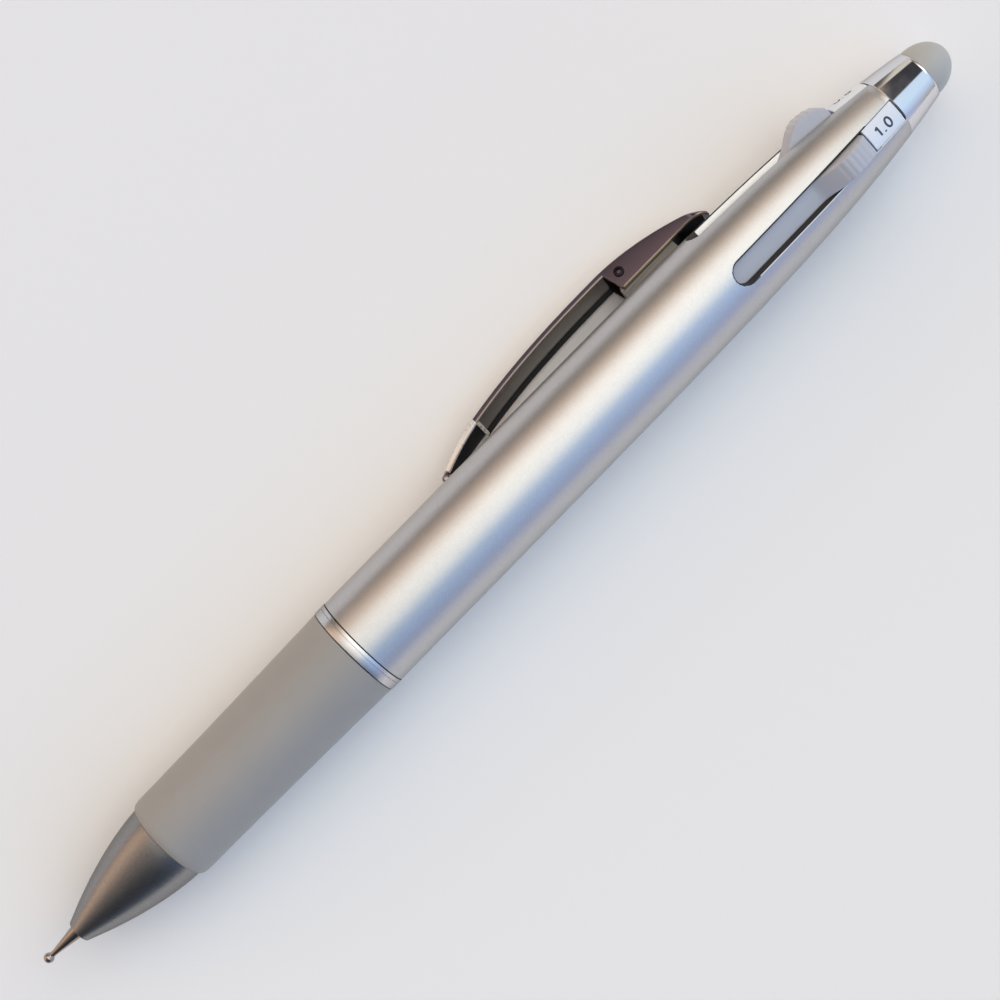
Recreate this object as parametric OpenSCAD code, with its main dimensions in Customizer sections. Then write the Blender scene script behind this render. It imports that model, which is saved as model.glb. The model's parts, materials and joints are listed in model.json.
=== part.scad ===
// Four-tip retractable embossing stylus, drawn in millimetres.
// +X runs from the nose to the soft dome, and the pen's axis is the X axis.
// Stations are distances behind the nose face. An azimuth turns about the pen's axis, from +Z towards -Y.

/* [Nose] */
// Length of the bare cone in front of the grip
nose_l = 14.5; // [12:0.5:20]
// Outer radius at the nose face
nose_face_r = 1.42; // [1.4:0.01:1.6]
// Outer radius where the cone meets the grip
nose_back_r = 5.07; // [4.95:0.01:5.2]
// Radius of the hole that a tip comes out of
nose_hole_r = 1.22; // [1.2:0.01:1.3]
// Length of the spigot behind the cone
nose_spigot_l = 5.5; // [3:0.5:8]

/* [Grip] */
// Length of the rubber grip
grip_l = 29.8; // [24:0.1:36]
// Radius of the grip at its front
grip_front_r = 5.57; // [5.45:0.01:5.8]
// How far the grip's back lies below the barrel
grip_step = 0.02; // [0.01:0.01:0.2]
// Depth of the rounding at the grip's front edge
grip_edge = 0.42; // [0.2:0.02:0.6]
// Length of the rounding at the grip's front edge
grip_edge_l = 1.1; // [0.4:0.1:2]

/* [Front barrel] */
// Radius of the tube that carries the grip
sleeve_r = 4.85; // [4.75:0.05:4.9]
// Wall of that tube round the nose cone's spigot
sleeve_t = 0.45; // [0.4:0.05:0.5]
// Bore of the front barrel
front_bore_r = 3.85; // [3.6:0.05:3.95]
// Length of the collar behind the grip
collar_l = 1.6; // [1:0.1:3]
// Chamfer on the collar's edges
collar_chamfer = 0.15; // [0.05:0.05:0.3]
// How far the collar stands above the barrel
collar_step = 0.05; // [0.02:0.01:0.1]
// Length of the spigot that screws into the barrel
front_spigot_l = 8; // [5:0.5:12]

/* [Barrel] */
// Radius of the straight seat of the barrel
barrel_r = 6.08; // [6.06:0.01:6.4]
// Length of the barrel
barrel_l = 84.2; // [82:0.1:90]
// Length of the straight seat behind the collar
seat_l = 18.5; // [14:0.5:24]
// Wall of the barrel
wall = 0.9; // [0.7:0.05:0.95]
// Width of a slider slot
slot_w = 3; // [2.9:0.05:3.2]
// Length of a slider slot, up to the cap
slot_l = 26.5; // [26:0.1:27]

/* [End cap] */
// Length of the chrome cap
cap_l = 5.4; // [4:0.1:8]
// Radius of the cap at its back
cap_back_r = 3.25; // [3.15:0.05:3.5]
// Length of the soft dome behind the cap
dome_l = 4.1; // [2.5:0.1:5]
// Radius of the soft dome
dome_r = 3.12; // [2.6:0.01:3.14]
// Radius of the dome's stem
dome_stem_r = 1.6; // [1:0.1:2.2]

/* [Clip] */
// Width of the clip
clip_w = 4.5; // [4.2:0.1:5]
// Sheet thickness of the clip
clip_sheet = 0.45; // [0.35:0.05:0.5]
// Height of the clip's arch above the barrel
clip_rise = 4.32; // [4.1:0.02:4.9]
// Depth of the channel's lips under its web
clip_lip = 0.32; // [0.2:0.02:0.5]
// Radius of the rolled ball at the clip's front end
clip_ball_r = 0.5; // [0.4:0.05:0.52]
// Radius of the clip's pivot pin
clip_pin_r = 0.4; // [0.3:0.05:0.45]
// Thickness of the clip's leaf spring
leaf_t = 0.25; // [0.2:0.05:0.3]

/* [Sliders] */
// Azimuth of the first slider; the others follow at quarter turns
first_az = 16.5; // [0:0.5:45]
// Travel of a slider along the pen
travel = 12.96; // [12:0.02:13]
// How far a slider sinks towards the axis over its travel
sink = 1; // [0.9:0.05:1.05]
// Height of the thumb's peak above the pen's axis
thumb_top_r = 6.68; // [6.4:0.01:6.8]
// Length of the thumb
thumb_l = 8.2; // [7.5:0.1:8.3]
// Width of the thumb and its strip
thumb_w = 2.62; // [2.4:0.02:2.7]
// Depth of the grip ribs on a thumb
rib_depth = 0.14; // [0.08:0.02:0.2]
// Distance from the pen's axis to a refill that is drawn in
refill_pitch_r = 2.4; // [2.35:0.01:2.45]

/* [Tips] */
// Outer radius of a refill tube
tube_r = 1; // [0.95:0.01:1]
// Bore radius of a refill tube
tube_bore_r = 0.7; // [0.5:0.05:0.75]
// Radius of a tip's steel barrel
tip_r = 0.86; // [0.8:0.01:0.87]
// Length of a tip in front of its tube
tip_l = 15; // [14:0.5:18]
// Length of a tip's flared cone behind the ball
tip_cone_l = 3.6; // [3:0.1:4.5]
// Ball diameter of the first tip
ball_1_d = 1; // [0.9:0.05:1.1]
// Ball diameter of the second tip
ball_2_d = 0.8; // [0.7:0.05:0.9]
// Ball diameter of the third tip
ball_3_d = 1.5; // [1.3:0.05:1.5]
// Ball diameter of the fourth tip
ball_4_d = 1.2; // [1.1:0.05:1.2]
// How far the tip that is out stands in front of the nose face
tip_out = 5.1; // [4.6:0.01:5.2]
// Wire diameter of a return spring
wire_d = 0.24; // [0.2:0.02:0.28]
// Mean radius of a return spring
coil_r = 1.12; // [1.1:0.01:1.13]

/* [Hidden] */
$fn = 64;
overrun = 1;
ball_ds = [ball_1_d, ball_2_d, ball_3_d, ball_4_d];
sliders = len(ball_ds);
slider_step = 360 / sliders;
// The slider whose tip is out
slider_out = 4;
// How each curve swells: the exponent of its power law
nose_bow_share = 1.65;
grip_bow_share = 1.5;
tail_bow_share = 4.8;
// Part of the barrel's narrowing that is a straight taper
tail_taper_share = 0.05;
clip_front_bow_share = 1.95;
clip_back_bow_share = 1.65;
tip_bow_share = 1.3;
curve_steps = 16;

// Stations and radii along the outside
grip_back_r = barrel_r - grip_step;
grip_end = nose_l + grip_l;
seat_start = grip_end + collar_l;
seat_end = seat_start + seat_l;
// The frame's origin: the middle of the collar and the straight seat, between its edges
origin_s = (grip_end + collar_chamfer + seat_end) / 2;
barrel_end = seat_start + barrel_l;
cap_end = barrel_end + cap_l;
slot_front = barrel_end - slot_l;
collar_r = barrel_r + collar_step;
nose_spigot_r = sleeve_r - sleeve_t;

// Clearances
fit_gap = 0.03;
lug_gap = 0.12;
core_gap = 0.1;
guide_gap = 0.08;
plate_gap = 0.06;
socket_gap = 0.1;
pin_gap = 0.05;
clip_side_gap = 0.1;

// Core and sliders
plug_l = 2;
core_l = 54.4;
core_end = barrel_end - plug_l;
core_start = core_end - core_l;
core_disc_l = 3;
cage_w = 2.8;
track_w = 1.9;
track_floor_r = 1.35;
wide_w = 2.92;
wide_floor_r = 2.6;
rod_r = 0.8;
shoulder_r = 1.25;
shoulder_l = 3;
socket_r = 1.35;
socket_l = 6;
socket_bore_l = 5.6;
thumb_gap = 0.35;
plate_l = 4.75;
plate_inset = 0.2;
plate_end = barrel_end - plate_inset;
plate_start = plate_end - plate_l;
plate_t = 0.8;
thumb_end = plate_start - thumb_gap;
thumb_start = thumb_end - thumb_l;
thumb_peak_share = 0.6;
thumb_peak = thumb_start + thumb_l * thumb_peak_share;
thumb_back_r = 5.05;
strip_l = 14.7;
strip_t = 0.65;
strip_front_r = 4.75;
strip_back_r = 4.28;
bar_w = 1.6;
bar_r = 2.5;
rib_count = 7;
rib_place_share = 0.3;
spring_l = 23;
cage_gap = 0.4;
socket_space = 1;
shoulder_start = core_start + core_disc_l + spring_l;
cage_end = shoulder_start + shoulder_l + cage_gap;
socket_start = core_start - socket_l - socket_space;
hinge_s = socket_start + socket_l / 2;
sway_l = hinge_s + tip_out - travel;
tip_out_r = -0.35;
sway = asin((refill_pitch_r - sink - tip_out_r) / sway_l);
tip_front = hinge_s - sway_l;
tip_spigot_l = 3;
refill_end = socket_start + socket_bore_l - guide_gap;
neck_share = 0.55;

// Springs
coil_turns = 12;
coil_rings = 8;
coil_sides = 6;
coil_apart_share = 0.75;

// Clip
clip_az = first_az - slider_step * 3 / 2;
clip_setback = 0.9;
clip_front = seat_end + clip_setback;
clip_l = 42.9;
clip_back = clip_front + clip_l;
clip_peak_l = 26.4;
clip_peak = clip_front + clip_peak_l;
clip_top_r = barrel_r + clip_rise;
clip_front_rise = 1.17;
clip_front_r = barrel_r + clip_front_rise;
clip_back_rise = 0.92;
clip_back_r = barrel_r + clip_back_rise;
clip_tip_half_w = 0.9;
clip_taper_l = 7.4;
clip_round_l = 2.6;
rib_l = 7.1;
rib_s = clip_front + rib_l;
ear_l = 29.3;
ear_start = clip_front + ear_l;
ear_curve_l = 0.7;
ear_low_rise = 0.77;
ear_low_r = barrel_r + ear_low_rise;
pivot_l = 1.6;
clip_pivot_s = ear_start + pivot_l;
lug_r = 0.72;
lug_foot_l = 1.65;
lug_front_a = 198;
lug_back_a = -37;
clip_pivot_r = clip_top(clip_pivot_s) - clip_sheet - lug_gap - lug_r;
bracket_gap = 0.1;
bracket_l = 8.2;
bracket_rise = 0.87;
bracket_top_r = barrel_r + bracket_rise;
leaf_foot_l = 4.4;
leaf_bend_l = 7.2;
leaf_tip_l = 9.6;
leaf_w_share = 0.8;
bracket_w = clip_w - 2 * (clip_sheet + clip_side_gap);
pin_head_r = 0.65;
pin_head_l = 0.12;

// Outer radius of the barrel and the cap: straight along the seat, then a bow down to the cap's back
function tail_r(s) = let (u = max(0, s - seat_end) / (cap_end - seat_end))
    barrel_r - (barrel_r - cap_back_r)
        * ((1 - tail_taper_share) * pow(u, tail_bow_share) + tail_taper_share * u);
// Points [radius, station] of that bow, drawn in by an inset
function tail_points(from, to, inset, n = curve_steps) =
    [for (i = [0 : n]) let (s = from + (to - from) * i / n) [tail_r(s) - inset, s]];
function reversed(points) = [for (i = [len(points) - 1 : -1 : 0]) points[i]];
function nose_r(s) = nose_face_r + (nose_back_r - nose_face_r) * (1 - pow(1 - s / nose_l, nose_bow_share));
function grip_r(s) = grip_front_r + (grip_back_r - grip_front_r)
    * pow((s - nose_l) / grip_l, grip_bow_share);
function slider_az(n) = first_az - slider_step * (n - 1);
function is_out(n) = n == slider_out ? 1 : 0;
// Height of the clip's arch above the axis
function clip_top(s) = s < clip_peak
    ? clip_top_r - (clip_top_r - clip_front_r)
        * pow((clip_peak - s) / (clip_peak - clip_front), clip_front_bow_share)
    : clip_top_r - (clip_top_r - clip_back_r)
        * pow((s - clip_peak) / (clip_back - clip_peak), clip_back_bow_share);
function clip_points(from, to, drop, n = curve_steps) =
    [for (i = [0 : n]) let (s = from + (to - from) * i / n) [s, clip_top(s) - drop]];
// Half the clip's width, which tapers to its ball and is rounded at its back
function clip_half_w(s) =
    s < clip_front + clip_taper_l
        ? clip_w / 2 - (clip_w / 2 - clip_tip_half_w) * pow((clip_front + clip_taper_l - s) / clip_taper_l, 2)
    : s > clip_back - clip_round_l
        ? clip_w / 2 - (clip_w / 2 - clip_tip_half_w) * pow((s - clip_back + clip_round_l) / clip_round_l, 2)
    : clip_w / 2;
// Height of the thumb: a smooth ramp in front and a round back
function thumb_r(s) = s < thumb_peak
    ? let (u = (s - thumb_start) / (thumb_peak - thumb_start))
        strip_back_r + (thumb_top_r - strip_back_r) * u * u * (3 - 2 * u)
    : let (u = (s - thumb_peak) / (thumb_end - thumb_peak))
        thumb_back_r + (thumb_top_r - thumb_back_r) * sqrt(1 - u * u);

// Turns a profile of [radius, station] points about the pen's axis
module turned(points) {
    translate([-origin_s, 0, 0]) rotate([0, 90, 0]) rotate_extrude() polygon(points);
}

// The frame of one azimuth: X is the station, Y runs sideways and Z away from the axis
module at_azimuth(az) {
    rotate([az, 0, 0]) translate([-origin_s, 0, 0]) children();
}

// A slider's frame, moved along its travel if its tip is out
module at_slider(n) {
    at_azimuth(slider_az(n)) translate([-travel, 0, -sink] * is_out(n)) children();
}

// A refill's frame, which leans inwards about its socket if its tip is out
module at_refill(n) {
    at_slider(n) translate([hinge_s, 0, refill_pitch_r]) rotate([0, -sway * is_out(n), 0])
        translate([-hinge_s, 0, 0]) children();
}

// A cylinder along X from one station to another
module rod(from, to, r) {
    translate([from, 0, 0]) rotate([0, 90, 0]) cylinder(r = r, h = to - from);
}

// A flat piece: an outline of [station, height] points, as wide as w
module plate_of(w) {
    translate([0, w / 2, 0]) rotate([90, 0, 0]) linear_extrude(w) children();
}

// A box between two stations and two heights
module bar(from, to, w, low, high) {
    translate([from, -w / 2, low]) cube([to - from, w, high - low]);
}

module nose_cone() {
    cavity_mid_s = 2.4;
    cavity_mid_r = 1.78;
    cavity_back_s = 8;
    cavity_back_r = 3.3;
    cavity_lead = 1.5;
    color("silver") turned(concat(
        [for (i = [0 : curve_steps]) let (s = nose_l * i / curve_steps) [nose_r(s), s]],
        [[nose_spigot_r, nose_l], [nose_spigot_r, nose_l + nose_spigot_l],
        [front_bore_r, nose_l + nose_spigot_l], [front_bore_r, nose_l - cavity_lead],
        [cavity_back_r, cavity_back_s], [cavity_mid_r, cavity_mid_s],
        [nose_hole_r, 0]]));
}

module grip_sleeve() {
    color("rosybrown") turned(concat(
        [[sleeve_r, nose_l]],
        [for (a = [0 : 15 : 90])
            [grip_front_r - grip_edge * (1 - sin(a)), nose_l + grip_edge_l * (1 - cos(a))]],
        [for (i = [1 : curve_steps]) let (s = nose_l + grip_edge_l + (grip_l - grip_edge_l) * i / curve_steps)
            [grip_r(s), s]],
        [[sleeve_r, grip_end]]));
}

module front_barrel() {
    spigot_r = barrel_r - wall - fit_gap;
    nose_socket_r = nose_spigot_r + fit_gap;
    color("silver") turned([
        [sleeve_r, nose_l], [sleeve_r, grip_end],
        [collar_r - collar_chamfer, grip_end], [collar_r, grip_end + collar_chamfer],
        [collar_r, seat_start - collar_chamfer], [collar_r - collar_chamfer, seat_start],
        [spigot_r, seat_start], [spigot_r, seat_start + front_spigot_l],
        [front_bore_r, seat_start + front_spigot_l], [front_bore_r, nose_l + nose_spigot_l + fit_gap],
        [nose_socket_r, nose_l + nose_spigot_l + fit_gap], [nose_socket_r, nose_l]]);
}

module barrel() {
    color("gainsboro") difference() {
        turned(concat(
            [[barrel_r, seat_start]], tail_points(seat_end, barrel_end, 0),
            reversed(tail_points(seat_end, barrel_end, wall)), [[barrel_r - wall, seat_start]]));
        for (n = [1 : sliders]) at_azimuth(slider_az(n)) {
            bar(slot_front + slot_w / 2, barrel_end + overrun, slot_w, 0, barrel_r + overrun);
            translate([slot_front + slot_w / 2, 0, 0]) cylinder(d = slot_w, h = barrel_r + overrun);
        }
    }
}

module slider_core() {
    color("lightsteelblue") difference() {
        turned(concat(
            [[0, core_start]], tail_points(core_start, core_end, wall + core_gap), [[0, core_end]]));
        for (n = [1 : sliders]) at_azimuth(slider_az(n)) {
            for (r = [refill_pitch_r - sink, refill_pitch_r]) translate([0, 0, r])
                rod(core_start - overrun, core_start + core_disc_l + overrun, rod_r + guide_gap);
            bar(core_start - overrun, core_start + core_disc_l + overrun, 2 * (rod_r + guide_gap),
                refill_pitch_r - sink, refill_pitch_r);
            bar(core_start + core_disc_l, cage_end, cage_w, 0, barrel_r);
            bar(cage_end - overrun, plate_start - guide_gap, track_w, track_floor_r, barrel_r);
            bar(core_start + core_disc_l + overrun, plate_start - guide_gap, wide_w, wide_floor_r, barrel_r);
        }
    }
}

module end_cap() {
    plug_r = tail_r(barrel_end) - wall - fit_gap;
    stem_l = 3;
    color("lightgray") turned(concat(
        [[0, core_end], [plug_r, core_end], [plug_r, barrel_end]],
        tail_points(barrel_end, cap_end, 0, 8),
        [[dome_stem_r, cap_end], [dome_stem_r, cap_end - stem_l], [0, cap_end - stem_l]]));
}

module dome_tip() {
    stem_l = 3;
    skirt_l = 0.3;
    bulge_l = dome_l - skirt_l;
    color("darkgray") turned(concat(
        [[0, cap_end - stem_l], [dome_stem_r, cap_end - stem_l], [dome_stem_r, cap_end]],
        [for (a = [0 : 7.5 : 82.5]) [dome_r * cos(a), cap_end + (a > 0 ? skirt_l : 0) + bulge_l * sin(a)]],
        [[0, cap_end + dome_l]]));
}

// A size plate closes the slot behind its thumb and lies flush with the barrel
module size_plate(n) {
    color("aliceblue") intersection() {
        turned(concat(
            tail_points(plate_start, plate_end, plate_t), reversed(tail_points(plate_start, plate_end, 0))));
        at_azimuth(slider_az(n)) bar(plate_start, plate_end, slot_w - 2 * plate_gap, 0, barrel_r);
    }
}

// The clip's outline from above, drawn in by an inset
module clip_plan(from, to, inset) {
    steps = 2 * curve_steps;
    half = [for (i = [0 : steps]) let (s = from + (to - from) * i / steps) [s, clip_half_w(s) - inset]];
    linear_extrude(clip_top_r + overrun) polygon(concat(half, reversed([for (p = half) [p[0], -p[1]]])));
}

// A folded sheet: a web with a lip along each side, which the ears deepen around the pivot
module clip_arm() {
    lip_drop = clip_sheet + clip_lip;
    color("dimgray") at_azimuth(clip_az) difference() {
        union() {
            intersection() {
                plate_of(clip_w) polygon(concat(
                    clip_points(clip_front, clip_back, 0, 2 * curve_steps),
                    [[clip_back, clip_back_r - clip_sheet], [clip_back - ear_curve_l, ear_low_r],
                    [ear_start + ear_curve_l, ear_low_r]],
                    reversed(clip_points(clip_front, ear_start, lip_drop))));
                clip_plan(clip_front, clip_back, 0);
            }
            translate([clip_front + clip_ball_r / 2, 0, barrel_r + clip_ball_r + pin_gap]) rotate([90, 0, 0])
                cylinder(r = clip_ball_r, h = 2 * (clip_tip_half_w - fit_gap), center = true);
        }
        intersection() {
            union() {
                plate_of(clip_w) polygon(concat(
                    clip_points(clip_front + 2 * clip_ball_r, rib_s, clip_sheet),
                    [[rib_s, 0], [clip_front + 2 * clip_ball_r, 0]]));
                plate_of(clip_w) polygon(concat(
                    clip_points(rib_s + clip_sheet, clip_back - clip_sheet, clip_sheet, 2 * curve_steps),
                    [[clip_back - clip_sheet, 0], [rib_s + clip_sheet, 0]]));
            }
            clip_plan(clip_front, clip_back, clip_sheet);
        }
        translate([clip_pivot_s, 0, clip_pivot_r]) rotate([90, 0, 0])
            cylinder(r = clip_pin_r + pin_gap, h = clip_w + overrun, center = true);
    }
}

module clip_bracket() {
    start = ear_start + bracket_gap;
    color("silver") difference() {
        at_azimuth(clip_az) difference() {
            plate_of(bracket_w) union() {
                polygon([[start, 0], [start + bracket_l, 0], [start + bracket_l, bracket_top_r],
                    [clip_pivot_s + lug_foot_l, bracket_top_r],
                    [clip_pivot_s + lug_r * cos(lug_back_a), clip_pivot_r + lug_r * sin(lug_back_a)],
                    [clip_pivot_s + lug_r * cos(lug_front_a), clip_pivot_r + lug_r * sin(lug_front_a)],
                    [start, bracket_top_r]]);
                translate([clip_pivot_s, clip_pivot_r]) circle(r = lug_r);
            }
            translate([clip_pivot_s, 0, clip_pivot_r]) rotate([90, 0, 0])
                cylinder(r = clip_pin_r, h = clip_w + overrun, center = true);
        }
        turned(concat([[0, seat_end]], tail_points(seat_end, barrel_end, 0), [[0, barrel_end]]));
    }
}

module clip_pin() {
    color("darkgray") at_azimuth(clip_az) translate([clip_pivot_s, 0, clip_pivot_r]) rotate([90, 0, 0]) {
        cylinder(r = clip_pin_r, h = clip_w + 2 * pin_gap, center = true);
        for (side = [-1, 1]) translate([0, 0, side * (clip_w / 2 + pin_gap + pin_head_l / 2)])
            cylinder(r = pin_head_r, h = pin_head_l, center = true);
    }
}

// A bent leaf on the bracket that presses the back of the clip away from the barrel
module clip_leaf_spring() {
    foot = ear_start + leaf_foot_l;
    bend = ear_start + leaf_bend_l;
    tip = ear_start + leaf_tip_l;
    tip_r = clip_top(tip) - clip_sheet - pin_gap;
    color("gray") at_azimuth(clip_az) plate_of(bracket_w * leaf_w_share) polygon([
        [foot, bracket_top_r], [bend, bracket_top_r], [tip, tip_r - leaf_t],
        [tip, tip_r], [bend, bracket_top_r + leaf_t], [foot, bracket_top_r + leaf_t]]);
}

// Thumb, strip, track bar, spring shoulder, rod and refill socket in one moulding
module slider(n) {
    strip_start = thumb_start - strip_l;
    color("lightslategray") at_slider(n) {
        plate_of(thumb_w) difference() {
            polygon(concat(
                [[strip_start, strip_front_r - strip_t], [strip_start, strip_front_r]],
                [for (i = [0 : curve_steps]) let (s = thumb_start + thumb_l * i / curve_steps) [s, thumb_r(s)]],
                [[thumb_end, strip_back_r - strip_t], [thumb_start, strip_back_r - strip_t]]));
            for (i = [0 : rib_count - 1])
                let (s = thumb_peak + (thumb_end - thumb_peak) * (i + rib_place_share) / rib_count)
                    translate([s, thumb_r(s)]) circle(r = rib_depth);
        }
        plate_of(bar_w) polygon([
            [shoulder_start + shoulder_l / 2, bar_r], [thumb_end, bar_r],
            [thumb_end, strip_back_r - strip_t / 2], [thumb_start, strip_back_r - strip_t / 2],
            [strip_start + strip_t, strip_front_r - strip_t / 2],
            [shoulder_start + shoulder_l / 2, bar_r + bar_w / 2]]);
        translate([0, 0, refill_pitch_r]) difference() {
            union() {
                rod(socket_start, socket_start + socket_l, socket_r);
                rod(socket_start, shoulder_start + shoulder_l, rod_r);
                rod(shoulder_start, shoulder_start + shoulder_l, shoulder_r);
            }
            rod(socket_start - overrun, socket_start + socket_bore_l, tube_r + socket_gap);
        }
    }
}

module refill_tube(n) {
    color("dimgray") at_refill(n) difference() {
        rod(tip_front + tip_l, refill_end, tube_r);
        rod(tip_front + tip_l - overrun, refill_end - tip_spigot_l, tube_bore_r);
    }
}

// Ball, neck, flared cone and steel barrel, with a spigot in the tube
module embossing_tip(n) {
    ball_r = ball_ds[n - 1] / 2;
    neck_r = ball_r * neck_share;
    neck_a = acos(neck_share);
    neck_s = ball_r * (1 + sin(neck_a));
    step = 0.3;
    steps = curve_steps / 2;
    color("silver") at_refill(n) translate([tip_front, 0, 0]) rotate([0, 90, 0]) rotate_extrude()
        polygon(concat(
            [[0, 0]],
            [for (i = [1 : steps]) let (a = -90 + (90 + neck_a) * i / steps)
                [ball_r * cos(a), ball_r * (1 + sin(a))]],
            [for (i = [0 : steps]) let (u = i / steps)
                [neck_r + (tip_r - neck_r) * pow(u, tip_bow_share), neck_s + step + tip_cone_l * u]],
            [[tip_r, tip_l], [tube_bore_r, tip_l], [tube_bore_r, tip_l + tip_spigot_l],
            [0, tip_l + tip_spigot_l]]));
}

// Points of a coil about the X axis, with a straight lead of one wire diameter at each end
function coil_points(from, to) = let (
        count = coil_turns * coil_rings,
        low = from + wire_d, high = to - wire_d)
    concat([[from, coil_r, 0]],
        [for (i = [0 : count]) let (a = 360 * i / coil_rings)
            [low + (high - low) * i / count, coil_r * cos(a), coil_r * sin(a)]],
        [[to, coil_r, 0]]);

// A tube along those points: each ring lies across the way to the next point
module coil(from, to) {
    path = coil_points(from, to);
    last = len(path) - 1;
    rings = [for (i = [0 : last]) let (
            p = path[i],
            ahead = i == 0 || i == last ? [1, 0, 0] : path[i + 1] - path[i - 1],
            t = ahead / norm(ahead),
            out = [0, p[1], p[2]] / norm([0, p[1], p[2]]),
            side = cross(t, out))
        [for (k = [0 : coil_sides - 1]) let (a = 360 * k / coil_sides)
            p + wire_d / 2 * (cos(a) * out + sin(a) * side)]];
    polyhedron(
        points = [for (ring = rings) each ring],
        faces = concat(
            [[for (k = [0 : coil_sides - 1]) k]],
            [for (i = [0 : last - 1], k = [0 : coil_sides - 1])
                let (a = i * coil_sides + k, b = i * coil_sides + (k + 1) % coil_sides) [a, a + coil_sides, b]],
            [for (i = [0 : last - 1], k = [0 : coil_sides - 1])
                let (a = i * coil_sides + k, b = i * coil_sides + (k + 1) % coil_sides)
                    [b, a + coil_sides, b + coil_sides]],
            [[for (k = [coil_sides - 1 : -1 : 0]) last * coil_sides + k]]));
}

// Least gap between wires of a coil whose points lie more than half a turn apart
function coil_gap(path) = let (last = len(path) - 1, apart = coil_rings * coil_apart_share)
    min([for (i = [0 : last], j = [i + apart : 1 : last]) norm(path[i] - path[j])]) - wire_d;

module return_spring(n) {
    seat = core_start + core_disc_l;
    push = shoulder_start;
    color("silver") at_azimuth(slider_az(n)) translate([0, 0, refill_pitch_r - sink * is_out(n)])
        coil(seat, push - travel * is_out(n));
}

echo(least_gap_of_pressed_coil = coil_gap(coil_points(0, shoulder_start - core_start - core_disc_l - travel)));
echo(sway = sway, sway_l = sway_l, hinge_s = hinge_s, origin_s = origin_s, tip_front = tip_front,
    clip_pivot_s = clip_pivot_s, clip_pivot_r = clip_pivot_r, cap_end = cap_end, thumb_start = thumb_start);

nose_cone();
grip_sleeve();
front_barrel();
barrel();
slider_core();
end_cap();
dome_tip();
clip_bracket();
clip_pin();
clip_leaf_spring();
clip_arm();
for (n = [1 : sliders]) {
    size_plate(n);
    slider(n);
    return_spring(n);
    refill_tube(n);
    embossing_tip(n);
}
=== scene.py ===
import json
import math

import bmesh
import bpy
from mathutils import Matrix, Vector


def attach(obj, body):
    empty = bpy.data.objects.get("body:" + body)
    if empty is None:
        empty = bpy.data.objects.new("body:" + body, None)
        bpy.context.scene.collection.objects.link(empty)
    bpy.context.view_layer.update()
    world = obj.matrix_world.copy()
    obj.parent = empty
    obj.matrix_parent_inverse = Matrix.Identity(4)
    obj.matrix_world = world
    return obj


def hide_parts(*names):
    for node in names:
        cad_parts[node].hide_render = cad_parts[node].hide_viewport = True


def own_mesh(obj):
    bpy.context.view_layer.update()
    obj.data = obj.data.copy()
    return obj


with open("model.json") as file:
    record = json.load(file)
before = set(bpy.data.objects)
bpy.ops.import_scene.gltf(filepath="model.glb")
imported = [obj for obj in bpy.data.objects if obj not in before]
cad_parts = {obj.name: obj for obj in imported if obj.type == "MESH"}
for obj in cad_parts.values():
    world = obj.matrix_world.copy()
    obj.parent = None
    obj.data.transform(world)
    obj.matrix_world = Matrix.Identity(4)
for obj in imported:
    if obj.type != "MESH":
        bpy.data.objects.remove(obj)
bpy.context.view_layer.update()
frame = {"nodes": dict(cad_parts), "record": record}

# Sizes are in millimetres, as the construction has them. A station is a distance behind the nose face,
# radii and heights are taken from the pen's axis, and azimuths turn about it in degrees.
MM = 0.001
ORIGIN_S = 54.425            # station of the frame's origin

NOSE_L = 14.5
NOSE_FRONT_R = 1.42
NOSE_BACK_R = 5.07
STEM_END = 20                # the nose's stem in the front barrel
STEM_BORE = 3.85
TUBE_R = 4.85                # the front barrel under the grip
TUBE_BORE = 4.43
GRIP_FRONT_R = 5.57
GRIP_BACK_R = 6.06
GRIP_END = 44.3
COLLAR_R = 6.13

SEAT_START = 45.9            # the barrel is a cylinder from here
SEAT_END = 64.4              # to here
BARREL_END = 130.1
BARREL_R = 6.08
WALL = 0.9
TAIL_BEND = 0.95             # share of the taper that is curved
TAIL_POWER = 4.8
CAP_END = 135.5
CAP_BACK_R = 3.25
PLUG_L = 2                   # the cap's plug in the barrel
DOME_R = 3.12
DOME_L = 4.1
DOME_STEM_R = 1.6
DOME_STEM_L = 3

FIRST_AZ = 16.5              # the slider that faces the photo's camera
SLIDER_AZ = [FIRST_AZ - 90 * n for n in range(4)]
CLIP_AZ = FIRST_AZ - 135
SLOT_W = 3.0
SLOT_FRONT = BARREL_END - 26.5
PLATE_L = 4.75
PLATE_END = BARREL_END - 0.2
PLATE_START = PLATE_END - PLATE_L
SIZES = ["1.0", "0.8", "1.5", "1.2"]
DIGITS_ASIDE = [0.0, 0.55, 0.0, 0.0]   # sideways place of each mark on its plate

OUT = 3                      # index of the slider whose tip is out
TRAVEL = 12.96               # of a slider along the pen
SINK = 1.0                   # and towards the axis
SHIFT = [(TRAVEL, SINK) if n == OUT else (0.0, 0.0) for n in range(4)]
JOINTS = {joint["name"]: joint for joint in frame["record"]["behaviour"]["joints"]}


def tail_r(s):
    """Outer radius of the barrel and the cap at a station."""
    u = max(0.0, s - SEAT_END) / (CAP_END - SEAT_END)
    return BARREL_R - (BARREL_R - CAP_BACK_R) * (TAIL_BEND * u ** TAIL_POWER + (1 - TAIL_BEND) * u)


def at(s, lateral, height, az=0.0):
    """A point from its station, sideways place and height in the frame of one azimuth."""
    a = math.radians(az)
    return Vector((s - ORIGIN_S, math.cos(a) * lateral - math.sin(a) * height,
                   math.sin(a) * lateral + math.cos(a) * height)) * MM


def spread(start, end, count):
    """Values in even steps from a start to an end, with the end left out."""
    return [start + (end - start) * i / count for i in range(count)]


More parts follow.
